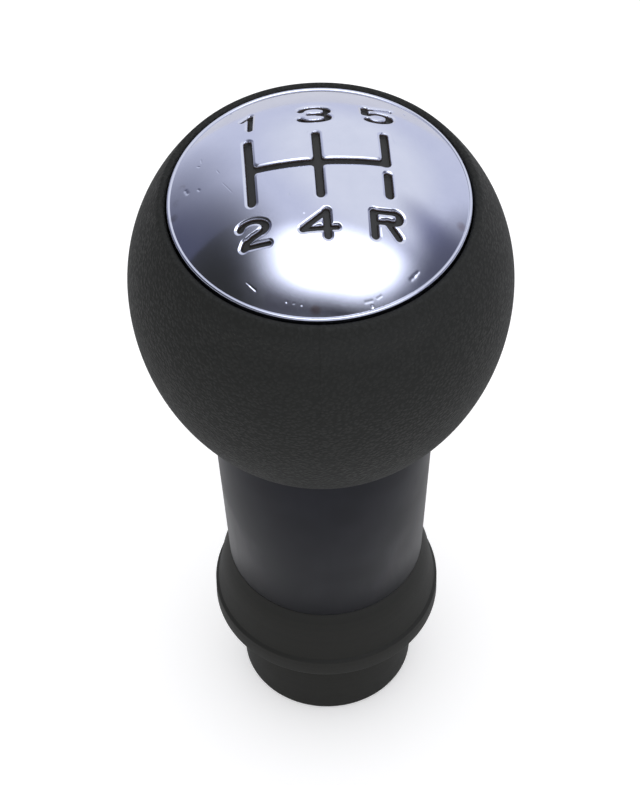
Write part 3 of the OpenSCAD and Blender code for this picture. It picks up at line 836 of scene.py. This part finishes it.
# Pieces
shiftCap = makeCap(platedZinc())
roundDomeNormals(shiftCap)
makeSkin(grainedVinyl())
makeNeck(satinAbs())
matt = mattPolypropylene()
makeCollar(matt)
makeRing(matt)
dressHidden()


# Studio: pale floor, white world, and glowing sheets that show only in reflections: painted reflections of the
# studio's boxes and dark cards, which light nothing
studio = {
    "floorSize": 3000, "floorColour": "#f2f2f4",
    "floorGlow": 0.3,        # for the camera only, keeps the paper white
    "worldTint": "#ecf0fe",  # in reflections only
    "sheetsRound": 90,       # height of the point that the sheets face
    # an oval each: size across and up, soft share of its rim, colour, glow,
    # zenith, azimuth, distance, turn in its plane
    "sheets": {
        "topBox": ((692, 1900), 0.7, "#f3f7ff", 4.0, 21.5, -45.2, 700, 22),
        "fillBox": ((1900, 1130), 0.54, "#f8fbff", 1.11, 48.2, 69, 900, -53.3),
        "cameraCard": ((1900, 324), 0.99, "#2c2b32", 1.0, 32.5, -74.6, 470, -24.4),
        "leftCard": ((1900, 983), 0.88, "#3c3d3c", 1.0, 50.4, 198.9, 540, -20.8),
        "rightCard": ((1900, 438), 0.89, "#636574", 1.0, 48.2, -14.9, 560, -24.7),
        "leftBackCard": ((1066, 1900), 1.0, "#5e6174", 1.0, 66, 160.5, 600, -58.2),
        "rightUpCard": ((1470, 351), 0.7, "#9093ae", 1.0, 66, -6.9, 620, 41.4),
    },
}


def stageSheet(name, size):
    bm = bmesh.new()
    bmesh.ops.create_grid(bm, x_segments=1, y_segments=1, size=mm / 2)
    bmesh.ops.scale(bm, vec=(size[0], size[1], 1), verts=bm.verts)
    mesh = bpy.data.meshes.new(name)
    bm.to_mesh(mesh)
    bm.free()
    sheet = bpy.data.objects.new(name, mesh)
    bpy.context.scene.collection.objects.link(sheet)
    return sheet


def makeFloor():
    floor = stageSheet("floor", (studio["floorSize"], studio["floorSize"]))
    material, tree, shader, place = newMaterial("paperSweep")
    shader.inputs["Base Color"].default_value = toLinear(studio["floorColour"])
    shader.inputs["Roughness"].default_value = 0.9
    shader.inputs["Emission Color"].default_value = (1, 1, 1, 1)
    path = addNode(tree, "ShaderNodeLightPath")
    glow = addNode(tree, "ShaderNodeMath", {"operation": "MULTIPLY", 1: studio["floorGlow"]},
                   {0: path.outputs["Is Camera Ray"]})
    tree.links.new(glow.outputs[0], shader.inputs["Emission Strength"])
    floor.data.materials.append(material)


def makeWorld():
    world = bpy.data.worlds.new("studioWhite")
    bpy.context.scene.world = world
    world.use_nodes = True
    tree = world.node_tree
    background = tree.nodes["Background"]
    path = addNode(tree, "ShaderNodeLightPath")
    sky = addNode(tree, "ShaderNodeMix", {"data_type": "RGBA", 6: grey(1), 7: toLinear(studio["worldTint"])},
                  {0: path.outputs["Is Glossy Ray"]})
    tree.links.new(sky.outputs[2], background.inputs["Color"])


def hangSheet(sheet, zenith, azimuth, away, tilt):
    # turns a sheet to face the knob from the given angle off the vertical, then in its own plane
    lean, turn = math.radians(zenith), math.radians(azimuth)
    ray = Vector((math.sin(lean) * math.cos(turn), math.sin(lean) * math.sin(turn), math.cos(lean)))
    sheet.location = (Vector((0, 0, studio["sheetsRound"])) + ray * away) * mm
    facing = (-ray).to_track_quat("-Z", "Y") @ Quaternion((0, 0, 1), math.radians(tilt))
    sheet.rotation_euler = facing.to_euler()


def fadedEdge(tree, place, size, soft):
    # 1 in the middle of an oval sheet, falling to 0 at its rim over the soft share
    spread = (2 / (size[0] * mm), 2 / (size[1] * mm), 0)
    oval = addNode(tree, "ShaderNodeVectorMath", {"operation": "MULTIPLY", 1: spread}, {0: place})
    out = addNode(tree, "ShaderNodeVectorMath", {"operation": "LENGTH"}, {0: oval.outputs["Vector"]})
    return addNode(tree, "ShaderNodeMapRange", {
        "interpolation_type": "SMOOTHSTEP", "From Min": 1.0, "From Max": 1 - soft},
        {"Value": out.outputs["Value"]}).outputs[0]


def reflectedSheet(name, size, soft, colour, glow, zenith, azimuth, away, tilt):
    # an oval that glows evenly, with a clear, faded rim, and that the camera sees in the reflections only: a
    # painted reflection, which lights nothing and casts no shadow
    sheet = stageSheet(name, size)
    hangSheet(sheet, zenith, azimuth, away, tilt)
    material, tree, shader, place = newMaterial(name)
    tree.nodes.remove(shader)
    light = addNode(tree, "ShaderNodeEmission", {"Color": toLinear(colour), "Strength": glow})
    clear = addNode(tree, "ShaderNodeBsdfTransparent")
    mix = addNode(tree, "ShaderNodeMixShader", {}, {0: fadedEdge(tree, place, size, soft),
                                                    1: clear.outputs[0], 2: light.outputs[0]})
    tree.links.new(mix.outputs[0], tree.nodes["Material Output"].inputs["Surface"])
    sheet.data.materials.append(material)
    sheet.visible_camera = sheet.visible_shadow = sheet.visible_diffuse = False


camera = {
    "away": 600, "elevation": 52.32, "around": 3.0, "standsOver": 50,
    "aim": (-0.4, 57.7), "roll": -1.105, "focal": 4454.2, "photoHigh": 785,
}


def makeCamera():
    lift, side = math.radians(camera["elevation"]), math.radians(camera["around"])
    flat = camera["away"] * math.cos(lift)
    place = Vector((-flat * math.sin(side), -flat * math.cos(side),
                    camera["standsOver"] + camera["away"] * math.sin(lift))) * mm
    aimSide, aimHigh = camera["aim"]
    aim = Vector((aimSide * math.cos(side), -aimSide * math.sin(side), aimHigh)) * mm
    data = bpy.data.cameras.new("photoCamera")
    data.sensor_width = 36
    data.lens = camera["focal"] * data.sensor_width / camera["photoHigh"]
    data.clip_start = 0.01
    item = bpy.data.objects.new("photoCamera", data)
    bpy.context.scene.collection.objects.link(item)
    item.location = place
    look = (aim - place).to_track_quat("-Z", "Y")
    item.rotation_mode = "QUATERNION"
    item.rotation_quaternion = look @ Quaternion((0, 0, 1), math.radians(camera["roll"]))
    bpy.context.scene.camera = item


makeFloor()
makeWorld()
for name, settings in studio["sheets"].items():
    reflectedSheet(name, *settings)
makeCamera()
scene = bpy.context.scene
scene.view_settings.view_transform = "Standard"
print("studio ready")
